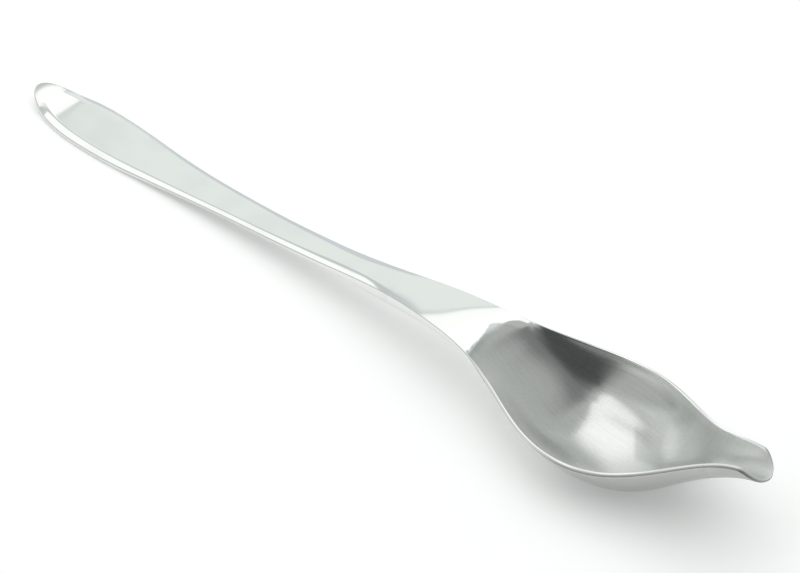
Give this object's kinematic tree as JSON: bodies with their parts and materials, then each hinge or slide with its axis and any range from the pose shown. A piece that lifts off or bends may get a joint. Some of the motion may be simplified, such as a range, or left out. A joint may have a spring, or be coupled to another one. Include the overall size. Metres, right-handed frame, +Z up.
{
  "type": "decorating spoon",
  "caption": "Long-handled stainless steel decorating spoon whose rounded bowl narrows to a raised pouring spout for drizzling sauce in fine lines.",
  "frame": {"origin": "on the table plane, below the middle of the spoon's length and width", "axes": "+X along the spoon from the handle tip to the spout, +Z up out of the open bowl, +Y to the left seen from the handle; XZ is the plane of symmetry"},
  "size_m": [0.2048, 0.033, 0.0205],
  "materials": {
    "polished_steel": "mirror-polished stainless steel with faint hairline marks",
    "satin_steel": "satin brushed stainless steel inside, polished neck, rim and outside"
  },
  "bodies": {
    "root": {"handle": "polished_steel", "bowl": "satin_steel"}
  },
  "joints": []
}
